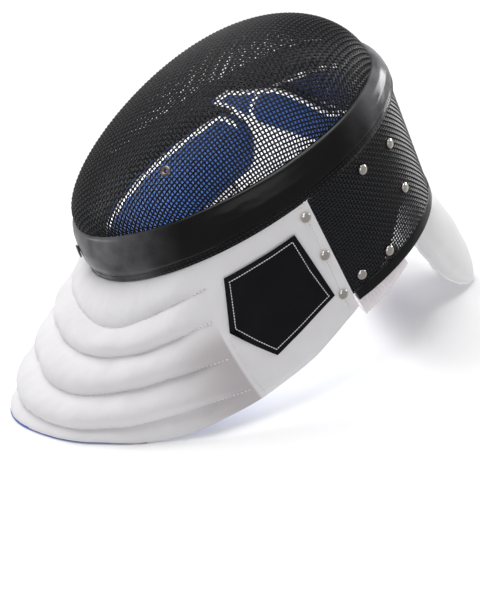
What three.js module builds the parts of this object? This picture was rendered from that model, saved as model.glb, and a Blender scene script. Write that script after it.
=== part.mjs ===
// A fencing mask lying on its back: mesh dome and sides, rubber trim, padded bib, pads, strap and tongue.
// Millimetres. The pieces are drawn in the mask's own frame (x to the wearer's left, y to the crown,
// z out of the face) and the whole mask is then pitched to rest on its bib hem and its tongue.
import * as THREE from 'three';
import { mergeVertices } from 'three/addons/utils/BufferGeometryUtils.js';

const { degToRad, lerp, smoothstep } = THREE.MathUtils;

// Ovals of the shell: half height to the crown, to the chin, and half width
const frontOval = { crown: 130.9, chin: 125.5, side: 98.5 };
const trimOval = { crown: 134.5, chin: 134, side: 107 };
const rearOval = { crown: 117.6, chin: 117.6, side: 101 };
const ovalSpan = 130;
const eggShape = 0.07;
const trimWidthMid = 30.4;
const trimWidthSlope = -7.3;
const sideDepth = 96.7;
const domeRise = 62.5;
const domeLean = 0.32;

// Walls and clearances
const gap = 0.3;
const facetGap = 0.7; // between curved walls whose facets do not line up
const meshInset = 2.4;
const meshWall = 1.5;
const skirtEnd = -0.56;
const sideStart = -0.53;
const sideLowAngle = -4;
const bindingStart = 0.918;
const bindingLowAngle = 9;
const bindingProud = 1;

// How the mask rests: pitch of the floor in the mask's frame, and the floor's z under the middle
const restPitch = 20;
const restFloor = -154.8;

// Bib: where its top edge ends on the rim, its wall in the tab and in the padding, and its lining
const tabAngle = 10.8;
const bibInset = 0.5;
const tabWall = 1.7;
const padWall = 5;
const hemWall = 3.2;
const sideBulge = 7;
const liningWall = 1.2;
const liningReach = 0.76;
const rollFadeStart = 0.48;
const rollFadeEnd = 0.66;

// Steps round and along the surfaces
const domeAround = 44;
const domeRings = 9;
const sideAround = 36;
const bibHalfColumns = 17;
const rivetSides = 10;

const trimProfile = [
  { t: -1, out: -0.7 },
  { t: -0.95, out: 1.2 },
  { t: -0.8, out: 2.8 },
  { t: -0.55, out: 3.5 },
  { t: -0.3, out: 2.4 },
  { t: -0.16, out: 1.3 },
  { t: -0.14, out: 0.6 },
  { t: 0, out: 0.2 },
];

// Hem of the bib from the front centre to the rear corner of the tab; lift is its height off the floor
const hemRows = [
  { x: 0, y: -250, lift: 0 },
  { x: 18, y: -247, lift: 0 },
  { x: 45, y: -234, lift: 0 },
  { x: 68, y: -217, lift: 0 },
  { x: 82, y: -200, lift: 0 },
  { x: 97, y: -180, lift: 0 },
  { x: 111, y: -151, lift: 2.5 },
  { x: 118, y: -124, lift: 8 },
  { x: 119, y: -106, lift: 12 },
  { x: 118, y: -84, lift: 17 },
  { x: 116, y: -60, lift: 25 },
  { x: 113, y: -34, lift: 35 },
  { x: 109, y: -13, lift: 46 },
  { x: 104, y: 15, lift: 62.5 },
];

// Quilted rolls of the bib, from the trim (0) to the hem (1)
const rollRows = [
  { from: 0, to: 0.137, puff: 2.5 },
  { from: 0.137, to: 0.344, puff: 7 },
  { from: 0.344, to: 0.553, puff: 7.5 },
  { from: 0.553, to: 0.81, puff: 8 },
  { from: 0.81, to: 1, puff: 5 },
];
const rollSteps = 4;

const label = { rearY: 4, frontY: -55, pointY: -74, topZ: -16, bottomZ: -84, wall: 1 };

// Rivets in the tab by y and z, and in the side mesh by angle and distance along the side
const tabRivets = [
  { y: 17.5, z: -10.7 },
  { y: 14.3, z: -45 },
  { y: 9.8, z: -80.5 },
];
const sideRivets = [
  { angle: 51, t: 0.2 },
  { angle: 33.5, t: 0.14 },
  { angle: 49, t: 0.58 },
  { angle: 28.6, t: 0.84 },
  { angle: 14.5, t: 0.83 },
];
const rivet = { radius: 4, edge: 0.6, rise: 2.4 };
const eyelet = { outer: 5.2, inner: 2.4, rise: 1.6 };
const chinEyeletAt = -0.5;
const meshEyelet = { angle: -27, radius: 0.82, outer: 4, inner: 1.4, rise: 1.4 };

// Pads against the shell by angle and z; depth is how far they stand into the hollow
const cheekPad = { from: -76, to: 6, inset: 4.3, depth: 17, front: [[-76, 6], [6, 6]], back: [[-76, -52], [6, -52]] };
const foreheadPad = { from: 8, to: 87.5, inset: 4.3, depth: 17 };
foreheadPad.front = [[8, 20], [14, 18], [22, 8], [32, -3], [40, -22], [48, -38], [87.5, -38]];
foreheadPad.back = [[8, 15], [12, 6], [14, -8], [18, -24], [32, -50], [46, -66], [87.5, -66]];
const padEdge = 0.3;

const spring = { halfWidth: 13, from: 0.72, endZ: -101, inset: 5.7, wall: 1.2 };
const tongueRows = [
  { z: -101.4, y: 111, halfWidth: 20, wall: 4 },
  { z: -114, y: 113, halfWidth: 30, wall: 7 },
  { z: -140, y: 114.5, halfWidth: 35, wall: 8 },
  { z: -165, y: 113.5, halfWidth: 36, wall: 8 },
  { z: -181, y: 111, halfWidth: 31, wall: 7 },
  { z: -189, y: 109, halfWidth: 22, wall: 5 },
  { z: -193.25, y: 108, halfWidth: 9, wall: 2.5 },
];
const tongueArch = { droop: 30, halfWidth: 36 }; // how far its sides hang, at this half width
const strap = { lowY: 17, highY: 64, endZ: -84, sag: 37, bow: 0.45, tilt: 8, inset: 5.1, wall: 1.8 };

const black = 0x15161a;
const white = 0xf0f0f2;
const blue = 0x1f3f8f;

const mask = new THREE.Group();
mask.rotation.x = degToRad(restPitch);

const floorNormal = new THREE.Vector3(0, Math.sin(degToRad(restPitch)), Math.cos(degToRad(restPitch)));

// Height of the floor at a place along the mask
function floorZ(y) {
  return restFloor - y * Math.tan(degToRad(restPitch));
}

// Shell line: t runs from the trim's front edge (-1) over its rear edge (0) to the rear of the side mesh (1)
function shellPoint(angle, t, inset) {
  const end = t < 0 ? frontOval : rearOval;
  const mix = Math.abs(t);
  const size = (key) => lerp(trimOval[key], end[key], mix) - inset;
  const sine = Math.sin(angle);
  const y = size(sine > 0 ? 'crown' : 'chin') * sine;
  const x = size('side') * Math.cos(angle) * (1 + (eggShape * y) / ovalSpan);
  const z = t < 0 ? mix * trimWidth(y) : -mix * sideDepth;
  return new THREE.Vector3(x, y, z);
}

function trimWidth(y) {
  return trimWidthMid + (trimWidthSlope * y) / ovalSpan;
}

// Shell point at a given z behind or in front of the trim's rear edge
function shellAtZ(angle, z, inset) {
  const t = z < 0 ? -z / sideDepth : -z / trimWidthMid;
  return shellPoint(angle, t, inset);
}

// Dome: radius runs from its middle (0) to the trim (1)
function domePoint(angle, radius, inset) {
  const rim = shellPoint(angle, -1, inset);
  const y = rim.y * radius;
  const rise = (domeRise - inset) * (1 + (domeLean * y) / ovalSpan);
  const z = trimWidth(y) + rise * Math.sqrt(Math.max(0, 1 - radius * radius));
  return new THREE.Vector3(rim.x * radius, y, z);
}

function range(count, from, to) {
  return Array.from({ length: count }, (_, i) => lerp(from, to, i / (count - 1)));
}

function turn(count) {
  return Array.from({ length: count }, (_, i) => (2 * Math.PI * i) / count);
}

// Merges shared corners, drops triangles without area and turns the faces out
function closedBody(geometry) {
  geometry.deleteAttribute('normal');
  geometry.deleteAttribute('uv');
  const merged = mergeVertices(geometry, 1e-4);
  const place = merged.attributes.position;
  const faces = [];
  let volume = 0;
  const [a, b, c] = [0, 1, 2].map(() => new THREE.Vector3());
  for (let i = 0; i < merged.index.count; i += 3) {
    const corners = [0, 1, 2].map((k) => merged.index.getX(i + k));
    if (new Set(corners).size === 3) {
      faces.push(corners);
      [a, b, c].forEach((corner, k) => corner.fromBufferAttribute(place, corners[k]));
      volume += a.dot(b.cross(c));
    }
  }
  merged.setIndex((volume < 0 ? faces.map((face) => face.reverse()) : faces).flat());
  merged.computeVertexNormals();
  return merged;
}

// Wall between an outer and an inner grid of points; a closed wall joins its last column to its first
function wall(outer, inner, closed = false) {
  const rows = outer.length;
  const columns = outer[0].length;
  const count = rows * columns;
  const at = (side, row, column) => side * count + row * columns + (column % columns);
  const faces = [];
  const quad = (a, b, c, d) => faces.push(a, b, c, a, c, d);
  const lastRow = rows - 1;
  const lastColumn = columns - 1;
  const spans = closed ? columns : lastColumn;
  for (let column = 0; column < spans; column += 1) {
    const next = column + 1;
    for (let row = 0; row < lastRow; row += 1) {
      quad(at(0, row, column), at(0, row, next), at(0, row + 1, next), at(0, row + 1, column));
      quad(at(1, row, column), at(1, row + 1, column), at(1, row + 1, next), at(1, row, next));
    }
    quad(at(0, 0, next), at(0, 0, column), at(1, 0, column), at(1, 0, next));
    quad(at(0, lastRow, column), at(0, lastRow, next), at(1, lastRow, next), at(1, lastRow, column));
  }
  for (let row = 0; row < lastRow && !closed; row += 1) {
    quad(at(0, row, 0), at(0, row + 1, 0), at(1, row + 1, 0), at(1, row, 0));
    quad(at(0, row + 1, lastColumn), at(0, row, lastColumn), at(1, row, lastColumn), at(1, row + 1, lastColumn));
  }
  const geometry = new THREE.BufferGeometry();
  geometry.setFromPoints([...outer.flat(), ...inner.flat()]);
  geometry.setIndex(faces);
  return closedBody(geometry);
}

function addPiece(name, geometry, color, roughness, metalness = 0) {
  const piece = new THREE.Mesh(geometry, new THREE.MeshStandardMaterial({ color, roughness, metalness }));
  piece.name = name;
  mask.add(piece);
  return piece;
}

// The same piece on the wearer's left (+x) and right
function mirrored(geometry) {
  return closedBody(geometry.clone().scale(-1, 1, 1));
}

function addPair(name, geometry, color, roughness, metalness) {
  addPiece(`${name}_left`, geometry, color, roughness, metalness);
  addPiece(`${name}_right`, mirrored(geometry), color, roughness, metalness);
}

// Front mesh: a dome with a short skirt that goes in under the trim
function makeFrontMesh() {
  const around = turn(domeAround);
  const grid = (inset) => {
    const dome = range(domeRings, 0, Math.PI / 2).map((lat) =>
      around.map((angle) => domePoint(angle, Math.sin(lat), inset)),
    );
    const skirt = [-0.8, skirtEnd].map((t) => around.map((angle) => shellPoint(angle, t, inset)));
    return [...dome, ...skirt];
  };
  addPiece('front_mesh', wall(grid(meshInset), grid(meshInset + meshWall), true), black, 0.45, 0.6);
}

// Side mesh: from ear to ear over the crown, its front end under the trim
function makeSideMesh() {
  const around = range(sideAround, degToRad(sideLowAngle), degToRad(180 - sideLowAngle));
  const end = bindingStart - gap / sideDepth;
  const steps = [sideStart, 0, 0.3, 0.6, end];
  const grid = (inset) => steps.map((t) => around.map((angle) => shellPoint(angle, t, inset)));
  addPiece('side_mesh', wall(grid(meshInset), grid(meshInset + meshWall)), black, 0.45, 0.6);
}

function makeTrim() {
  const around = turn(domeAround);
  const outer = trimProfile.map((row) => around.map((angle) => shellPoint(angle, row.t, -row.out)));
  const inner = trimProfile.map((row) => around.map((angle) => shellPoint(angle, row.t, meshInset - facetGap)));
  addPiece('trim', wall(outer, inner, true), 0x1b1b1d, 0.4);
}

function makeRearBinding() {
  const around = range(sideAround, degToRad(bindingLowAngle), degToRad(180 - bindingLowAngle));
  const steps = range(3, bindingStart, 1);
  const grid = (inset) => steps.map((t) => around.map((angle) => shellPoint(angle, t, inset)));
  const outer = grid(meshInset - bindingProud);
  addPiece('rear_binding', wall(outer, grid(meshInset + meshWall + bindingProud)), black, 0.3);
}

const hemCurve = new THREE.CatmullRomCurve3(
  hemRows.map((row) => new THREE.Vector3(row.x, row.y, floorZ(row.y) + row.lift)),
);

// Middle surface of the bib: a runs from the front centre (0) to the tab's rear edge (1), v from trim to hem
function bibBase(a, v) {
  const angle = degToRad(lerp(-90, tabAngle, a));
  const top = shellPoint(angle, gap / sideDepth, bibInset);
  const hem = hemCurve.getPointAt(a);
  hem.z = Math.max(hem.z, floorZ(hem.y));
  const base = top.lerp(hem, v);
  base.x += sideBulge * 4 * a * (1 - a) * Math.sin(Math.PI * v);
  return base;
}

function bibNormal(a, v) {
  const step = 0.01;
  const along = bibBase(Math.min(1, a + step), v).sub(bibBase(Math.max(0, a - step), v));
  const down = bibBase(a, Math.min(1, v + step)).sub(bibBase(a, Math.max(0, v - step)));
  return along.cross(down).normalize().negate();
}

function rollPuff(a, v) {
  const row = rollRows.find((roll) => v <= roll.to) ?? rollRows.at(-1);
  const t = (v - row.from) / (row.to - row.from);
  const fade = 1 - smoothstep(a, rollFadeStart, rollFadeEnd);
  return row.puff * fade * Math.sin(Math.PI * Math.pow(t, 1.25)) ** 0.8;
}

function bibWall(a, v) {
  const padding = lerp(padWall, tabWall, smoothstep(a, rollFadeStart, 0.9));
  const filled = lerp(tabWall, padding, smoothstep(v, 0, 0.1));
  return lerp(filled, Math.min(filled, hemWall), smoothstep(v, 0.75, 1));
}

// Point of the bib's left half at a height over its middle surface; the hem's edge lies along the floor
function bibPoint(a, v, height) {
  const outward = bibNormal(a, v);
  if (a === 0) outward.x = 0;
  if (v === 1) outward.projectOnPlane(floorNormal).normalize();
  return bibBase(a, v).addScaledVector(outward, height);
}

// Rows of points across the whole bib, right side mirrored from the left
function bibGrid(reach, steps, height) {
  const columns = range(bibHalfColumns * 2 - 1, -1, 1).filter((column) => Math.abs(column) <= reach);
  return steps.map((v) =>
    columns.map((column) => {
      const a = Math.abs(column) < 1e-9 ? 0 : Math.abs(column);
      const point = bibPoint(a, v, height(a, v));
      if (column < 0) point.x = -point.x;
      return point;
    }),
  );
}

function makeBib() {
  const steps = [0];
  for (const roll of rollRows) {
    steps.push(...range(rollSteps + 1, roll.from, roll.to).slice(1));
  }
  const cover = wall(
    bibGrid(1, steps, rollPuff),
    bibGrid(1, steps, (a, v) => -bibWall(a, v)),
  );
  addPiece('bib_cover', cover, white, 0.8);
  const liningSteps = [0.1, 0.2, 0.32, 0.44, 0.56, 0.68, 0.8, 0.9];
  const lining = wall(
    bibGrid(liningReach, liningSteps, (a, v) => -bibWall(a, v) - facetGap),
    bibGrid(liningReach, liningSteps, (a, v) => -bibWall(a, v) - facetGap - liningWall),
  );
  addPiece('bib_lining', lining, blue, 0.5);
}

// Finds the bib's surface at a given y and z by a few Newton steps
function onBib(y, z) {
  const step = 0.005;
  let a = 0.85;
  let v = 0.5;
  for (let i = 0; i < 12; i += 1) {
    const here = bibBase(a, v);
    const da = bibBase(a + step, v).sub(here).divideScalar(step);
    const dv = bibBase(a, v + step).sub(here).divideScalar(step);
    const [ey, ez] = [y - here.y, z - here.z];
    const det = da.y * dv.z - da.z * dv.y;
    a = THREE.MathUtils.clamp(a + (ey * dv.z - ez * dv.y) / det, 0.3, 0.99);
    v = THREE.MathUtils.clamp(v + (ez * da.y - ey * da.z) / det, 0.01, 0.99);
  }
  return { a, v, normal: bibNormal(a, v) };
}

// Label: a five-cornered patch on the side of the bib, its point towards the front
function makeLabels() {
  const grid = (height) =>
    range(7, -1, 1).map((side) =>
      range(6, 0, 1).map((across) => {
        const front = lerp(label.pointY, label.frontY, Math.abs(side));
        const y = lerp(label.rearY, front, across);
        const z = lerp(label.topZ, label.bottomZ, (side + 1) / 2);
        const { a, v } = onBib(y, z);
        return bibPoint(a, v, rollPuff(a, v) + height);
      }),
    );
  addPair('label', wall(grid(gap + label.wall), grid(gap)), 0x101014, 0.5);
}

// Turns a lathed fastener's axis to a surface's normal and seats it there
function seat(profile, sides, point, normal) {
  const geometry = new THREE.LatheGeometry(profile, sides);
  const upright = new THREE.Vector3(0, 1, 0);
  geometry.applyQuaternion(new THREE.Quaternion().setFromUnitVectors(upright, normal));
  const base = point.clone().addScaledVector(normal, gap);
  geometry.translate(base.x, base.y, base.z);
  return closedBody(geometry);
}

function rivetProfile() {
  const { radius, edge, rise } = rivet;
  const crown = range(3, 0, Math.PI / 2).map(
    (lat) => new THREE.Vector2(radius * Math.cos(lat), edge + (rise - edge) * Math.sin(lat)),
  );
  crown.at(-1).x = 0;
  return [new THREE.Vector2(0, 0), new THREE.Vector2(radius, 0), ...crown];
}

function eyeletProfile({ outer, inner, rise }) {
  const corners = [
    [inner, 0],
    [outer, 0],
    [outer - rise / 2, rise],
    [inner + rise / 4, rise],
    [inner, 0],
  ];
  return corners.map(([radius, height]) => new THREE.Vector2(radius, height));
}

// Outward normal of a surface given as a function of two parameters
function surfaceNormal(surface, u, v) {
  const step = 0.01;
  const across = surface(u + step, v).sub(surface(u - step, v));
  const along = surface(u, v + step).sub(surface(u, v - step));
  const normal = across.cross(along).normalize();
  const outward = surface(u, v).setZ(normal.z);
  return normal.dot(outward) < 0 ? normal.negate() : normal;
}

function makeFasteners() {
  tabRivets.forEach(({ y, z }, i) => {
    const { a, v, normal } = onBib(y, z);
    addPair(`tab_rivet_${i + 1}`, seat(rivetProfile(), rivetSides, bibPoint(a, v, 0), normal), 0xc8c8cc, 0.25, 1);
  });
  const side = (angle, t) => shellPoint(angle, t, meshInset);
  sideRivets.forEach(({ angle, t }, i) => {
    const turned = degToRad(angle);
    const normal = surfaceNormal(side, turned, t);
    addPair(`side_rivet_${i + 1}`, seat(rivetProfile(), rivetSides, side(turned, t), normal), 0xc8c8cc, 0.25, 1);
  });
  const trimFace = (angle, t) => shellPoint(angle, t, -trimProfile[3].out);
  const chin = -Math.PI / 2;
  const chinNormal = surfaceNormal(trimFace, chin, chinEyeletAt);
  const chinRing = seat(eyeletProfile(eyelet), rivetSides, trimFace(chin, chinEyeletAt), chinNormal);
  addPiece('chin_eyelet', chinRing, 0x9a9a9e, 0.3, 1);
  const dome = (angle, radius) => domePoint(angle, radius, meshInset);
  const turned = degToRad(meshEyelet.angle);
  const domeNormal = surfaceNormal(dome, turned, meshEyelet.radius);
  const domeRing = seat(eyeletProfile(meshEyelet), rivetSides, dome(turned, meshEyelet.radius), domeNormal);
  addPiece('mesh_eyelet', domeRing, 0x8a8a8e, 0.3, 1);
}

// Reads a line of angle and z pairs
function lineAt(line, angle) {
  const next = Math.max(1, line.findIndex(([end]) => angle <= end + 1e-6));
  const [[start, low], [end, high]] = [line[next - 1], line[next]];
  return lerp(low, high, (angle - start) / (end - start));
}

// Pad: flat against the shell and crowned towards the hollow
function makePad(name, pad) {
  const angles = range(17, pad.from, pad.to);
  const rows = range(6, 0, 1);
  const crown = (i, n) => Math.sin((Math.PI * i) / (n - 1)) ** 0.5;
  const grid = (filled) =>
    rows.map((across, row) =>
      angles.map((angle, column) => {
        const full = crown(row, rows.length) * crown(column, angles.length);
        const thick = filled * pad.depth * lerp(padEdge, 1, full);
        const z = lerp(lineAt(pad.front, angle), lineAt(pad.back, angle), across);
        return shellAtZ(degToRad(angle), z, pad.inset + thick);
      }),
    );
  addPair(name, wall(grid(0), grid(1)), blue, 0.6);
}

// Spring leaf under the crown, and the padded tongue that it carries
function makeTongue() {
  const endT = -spring.endZ / sideDepth;
  const springGrid = (inset) =>
    range(4, spring.from, endT).map((t) =>
      range(5, -1, 1).map((side) =>
        shellPoint(Math.PI / 2 + side * Math.asin(spring.halfWidth / rearOval.side), t, inset),
      ),
    );
  const springLeaf = wall(springGrid(spring.inset), springGrid(spring.inset + spring.wall));
  addPiece('tongue_spring', springLeaf, 0xd0d0d4, 0.25, 1);
  const tongueGrid = (face) =>
    tongueRows.map((row) =>
      range(13, -1, 1).map((side) => {
        const fill = lerp(0.25, 1, Math.sqrt(1 - side * side));
        const hang = tongueArch.droop * ((side * row.halfWidth) / tongueArch.halfWidth) ** 2;
        return new THREE.Vector3(side * row.halfWidth, row.y - hang + (face * row.wall * fill) / 2, row.z);
      }),
    );
  addPiece('tongue_cover', wall(tongueGrid(1), tongueGrid(-1)), white, 0.7);
}

// Back strap: a wide band across the opening, its ends against the inside of the binding
function makeStrap() {
  const grid = (inset) =>
    range(4, strap.lowY, strap.highY).map((y) =>
      range(21, -1, 1).map((side) => {
        const bend = (side * Math.PI) / 2;
        const half = rearOval.crown - inset;
        const x = (rearOval.side - inset) * Math.sqrt(1 - (y / half) ** 2) * (1 + (eggShape * y) / ovalSpan);
        const lean = (strap.tilt * (strap.highY - y)) / (strap.highY - strap.lowY);
        const z = strap.endZ - lean - (strap.sag + strap.inset - inset) * Math.cos(bend) ** strap.bow;
        return new THREE.Vector3(x * Math.sin(bend), y, z);
      }),
    );
  addPiece('back_strap', wall(grid(strap.inset), grid(strap.inset + strap.wall)), white, 0.8);
}

makeFrontMesh();
makeSideMesh();
makeTrim();
makeRearBinding();
makeBib();
makeLabels();
makeFasteners();
makePad('cheek_pad', cheekPad);
makePad('forehead_pad', foreheadPad);
makeTongue();
makeStrap();

// The part stands on z = 0 with its box centred over the origin
const part = new THREE.Group();
part.add(mask);
part.updateMatrixWorld(true);
const box = new THREE.Box3().setFromObject(part, true);
const middle = box.getCenter(new THREE.Vector3());
part.position.set(-middle.x, -middle.y, -box.min.z);

export default part;
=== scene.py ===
import math

import bpy
import numpy as np
from mathutils import Matrix, Vector


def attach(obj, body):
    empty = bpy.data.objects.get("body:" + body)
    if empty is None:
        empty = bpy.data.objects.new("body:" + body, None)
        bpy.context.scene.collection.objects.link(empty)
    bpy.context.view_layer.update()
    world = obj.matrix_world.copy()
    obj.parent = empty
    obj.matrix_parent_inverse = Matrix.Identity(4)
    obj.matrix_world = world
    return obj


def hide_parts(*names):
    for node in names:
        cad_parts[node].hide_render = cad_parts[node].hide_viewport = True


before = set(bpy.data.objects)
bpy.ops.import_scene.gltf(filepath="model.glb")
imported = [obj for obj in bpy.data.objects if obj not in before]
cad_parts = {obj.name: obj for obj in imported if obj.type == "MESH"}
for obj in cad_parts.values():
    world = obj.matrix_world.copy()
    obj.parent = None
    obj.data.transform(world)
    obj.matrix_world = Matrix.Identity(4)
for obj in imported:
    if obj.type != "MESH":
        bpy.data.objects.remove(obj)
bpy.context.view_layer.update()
bpy.ops.object.select_all(action="DESELECT")

# Mask frame in millimetres: x to the wearer's left, y to the crown, z out of the face.
# The mask lies pitched on its back, so every point is turned and shifted into the row frame.
maskFrame = dict(pitch=20.0, shiftY=21.8, shiftZ=145.464)
frontOval = dict(crown=130.9, chin=125.5, side=98.5)
trimOval = dict(crown=134.5, chin=134.0, side=107.0)
rearOval = dict(crown=117.6, chin=117.6, side=101.0)
shell = dict(span=130.0, egg=0.07, trimWidth=30.4, trimSlope=-7.3, sideDepth=96.7)
shell.update(domeRise=62.5, domeLean=0.32)
meshInset = 2.4
floorAtMiddle = -154.8


def rowPoint(points):
    points = np.asarray(points, float)
    turn = math.radians(maskFrame["pitch"])
    y = points[..., 1] * math.cos(turn) - points[..., 2] * math.sin(turn) + maskFrame["shiftY"]
    z = points[..., 1] * math.sin(turn) + points[..., 2] * math.cos(turn) + maskFrame["shiftZ"]
    return np.stack([points[..., 0], y, z], -1) / 1000


def rowDirection(vector):
    return Vector(rowPoint(vector) - rowPoint((0, 0, 0))).normalized()


def floorZ(y):
    return floorAtMiddle - y * math.tan(math.radians(maskFrame["pitch"]))


def trimWidthAt(y):
    return shell["trimWidth"] + shell["trimSlope"] * y / shell["span"]


# Shell line: t is -1 at the trim's front edge, 0 at its rear edge and 1 at the rear of the side mesh
def shellPoint(angle, t, inset):
    angle, t, inset = np.broadcast_arrays(*(np.asarray(v, float) for v in (angle, t, inset)))
    mix = np.abs(t)
    size = {}
    for key in trimOval:
        end = np.where(t < 0, frontOval[key], rearOval[key])
        size[key] = blend(trimOval[key], end, mix) - inset
    sine = np.sin(angle)
    y = np.where(sine > 0, size["crown"], size["chin"]) * sine
    x = size["side"] * np.cos(angle) * (1 + shell["egg"] * y / shell["span"])
    z = np.where(t < 0, mix * trimWidthAt(y), -mix * shell["sideDepth"])
    return np.stack([x, y, z], -1)


def domePoint(angle, radius, inset):
    rim = shellPoint(angle, -1.0, inset)
    radius = np.asarray(radius, float)
    y = rim[..., 1] * radius
    rise = (shell["domeRise"] - inset) * (1 + shell["domeLean"] * y / shell["span"])
    z = trimWidthAt(y) + rise * np.sqrt(np.clip(1 - radius**2, 0, 1))
    return np.stack([rim[..., 0] * radius, y, z], -1)


def unit(vectors):
    return vectors / np.maximum(np.linalg.norm(vectors, axis=-1, keepdims=True), 1e-9)


def smoothStep(value, low, high):
    t = np.clip((value - low) / (high - low), 0, 1)
    return t * t * (3 - 2 * t)


def blend(low, high, share):
    return low + (high - low) * share


# Power that keeps the sign, to square off a round section
def signedPower(value, power):
    return np.sign(value) * np.abs(value) ** power


# Distance along a polyline at each of its points
def runAlong(points):
    return np.concatenate([[0], np.cumsum(np.linalg.norm(np.diff(points, axis=0), axis=1))])


# Rows of three values read at places along a run
def readRows(at, run, rows):
    return np.stack([np.interp(at, run, rows[:, k]) for k in range(3)], -1)


# Even steps from corner to corner, as one row for each of the corners' two values
def walkCorners(corners, last=None):
    return np.concatenate([np.linspace(p, q, 60)[:last] for p, q in zip(corners, corners[1:])]).T


# Folds a closed section into two faces: whether it is the first, and the share across
def foldAcross(v):
    return v <= 0.5, np.where(v <= 0.5, v * 2, 2 - v * 2)


# Cheap smooth noise: a few sines with fixed phases, about -1 to 1
def ripple(a, b, seed, octaves=4):
    draws = np.random.default_rng(seed)
    total = np.zeros(np.broadcast(a, b).shape)
    for octave in range(octaves):
        fa, fb = draws.uniform(0.6, 1.4, 2) * 1.7**octave
        shift, bend = draws.uniform(0, 6.3), draws.uniform(0, 6.3)
        total += np.sin(fa * a + shift + 1.3 * np.sin(fb * b + bend)) / (octave + 1.5)
    return total / 1.6


# Mesh helpers

def selectOnly(piece):
    bpy.ops.object.select_all(action="DESELECT")
    piece.select_set(True)
    bpy.context.view_layer.objects.active = piece


def editPiece(piece, work):
    selectOnly(piece)
    bpy.ops.object.mode_set(mode="EDIT")
    bpy.ops.mesh.select_all(action="SELECT")
    work()
    bpy.ops.object.mode_set(mode="OBJECT")


def finishPiece(piece, paint, nodes=(), smoothAngle=40):
    piece.data.materials.clear()
    piece.data.materials.append(paints[paint])
    selectOnly(piece)
    bpy.ops.object.shade_smooth_by_angle(angle=math.radians(smoothAngle))
    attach(piece, "root")
    if nodes:
        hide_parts(*nodes)
    return piece


# A grid is added and every vertex is moved by shape(u, v); v runs round a closed section
def sectionPiece(name, columns, rows, shape, closedAlong=False):
    bpy.ops.object.select_all(action="DESELECT")
    bpy.ops.mesh.primitive_grid_add(x_subdivisions=columns, y_subdivisions=rows, size=1)
    piece = bpy.context.object
    piece.name = name
    piece.data.name = name
    place = np.empty(len(piece.data.vertices) * 3)
    piece.data.vertices.foreach_get("co", place)
    place = place.reshape(-1, 3)
    around = np.where(place[:, 1] > 0.5 - 1e-5, 0.0, place[:, 1] + 0.5)   # the last row closes on the first
    shaped = rowPoint(shape(place[:, 0] + 0.5, around))
    piece.data.vertices.foreach_set("co", shaped.ravel())

    def close():
        bpy.ops.mesh.remove_doubles(threshold=1e-6)
        if not closedAlong:
            bpy.ops.mesh.select_all(action="DESELECT")
            bpy.ops.mesh.select_non_manifold()
            bpy.ops.mesh.edge_face_add()
        bpy.ops.mesh.select_all(action="SELECT")
        bpy.ops.mesh.normals_make_consistent(inside=False)

    editPiece(piece, close)
    return piece


def arrayPiece(name, vertices, faces):
    mesh = bpy.data.meshes.new(name)
    mesh.from_pydata(vertices, [], faces)
    mesh.update()
    piece = bpy.data.objects.new(name, mesh)
    bpy.context.scene.collection.objects.link(piece)
    return piece


# Many round strands joined in one mesh; each line is (points, normals) in the mask frame
def strandPiece(name, lines, radius, sides, loop=False):
    vertices, faces, count = [], [], 0
    turn = np.arange(sides) * 2 * math.pi / sides
    for points, normals in lines:
        along = np.roll(points, -1, 0) - np.roll(points, 1, 0)
        if not loop:
            along[0] = points[1] - points[0]
            along[-1] = points[-1] - points[-2]
        along = unit(along)
        across = unit(np.cross(along, normals))
        up = np.cross(across, along)
        ring = across[:, None] * np.cos(turn)[None, :, None] + up[:, None] * np.sin(turn)[None, :, None]
        vertices.append((points[:, None] + radius * ring).reshape(-1, 3))
        n = len(points)
        for i in range(n if loop else n - 1):
            a = count + i * sides
            b = count + (i + 1) % n * sides
            faces += [(a + k, a + (k + 1) % sides, b + (k + 1) % sides, b + k) for k in range(sides)]
        if not loop:
            faces.append(tuple(count + k for k in reversed(range(sides))))
            faces.append(tuple(count + (n - 1) * sides + k for k in range(sides)))
        count += n * sides
    return arrayPiece(name, rowPoint(np.concatenate(vertices)).tolist(), faces)


# Places stitches at an even step along a polyline
def stitchRun(points, normals, pitch):
    run = runAlong(points)
    at = np.arange(pitch / 2, run[-1], pitch)
    ahead = readRows(at + 0.3, run, points) - readRows(at - 0.3, run, points)
    return readRows(at, run, points), unit(ahead), unit(readRows(at, run, normals))


# Stitches: short plump beads along lines of (points, normals), each a six-sided spindle.
# Sizes are pitch, length and radius
stitchSizes = dict(trim=(3.6, 2.4, 0.34), bib=(3.0, 2.2, 0.5), label=(2.1, 1.9, 0.32))


def stitchPiece(name, lines, kind):
    pitch, length, radius = stitchSizes[kind]
    runs = [stitchRun(*line, pitch) for line in lines]
    places, directions, normals = (np.concatenate(parts) for parts in zip(*runs))
    sides = 6
    turn = np.arange(sides) * 2 * math.pi / sides
    across = unit(np.cross(directions, normals))
    up = np.cross(across, directions)
    vertices, faces = [], []
    for p, d, s, u in zip(places, directions, across, up):
        base = len(vertices)
        vertices.append(p - d * length / 2 - u * radius * 0.5)
        for end in (-0.28, 0.28):
            for k in turn:
                vertices.append(p + d * length * end + radius * (s * math.cos(k) + u * math.sin(k)))
        vertices.append(p + d * length / 2 - u * radius * 0.5)
        last = base + 2 * sides + 1
        for k in range(sides):
            n = (k + 1) % sides
            faces.append((base, base + 1 + n, base + 1 + k))
            faces.append((base + 1 + k, base + 1 + n, base + 1 + sides + n, base + 1 + sides + k))
            faces.append((base + 1 + sides + k, base + 1 + sides + n, last))
    return arrayPiece(name, rowPoint(np.array(vertices)).tolist(), faces)


# Shader helpers

# Gives each input of a node a value, or links it from a socket
def feed(tree, node, inputs):
    for key, value in dict(inputs).items():
        if isinstance(value, bpy.types.NodeSocket):
            tree.links.new(value, node.inputs[key])
        else:
            node.inputs[key].default_value = value


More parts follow.
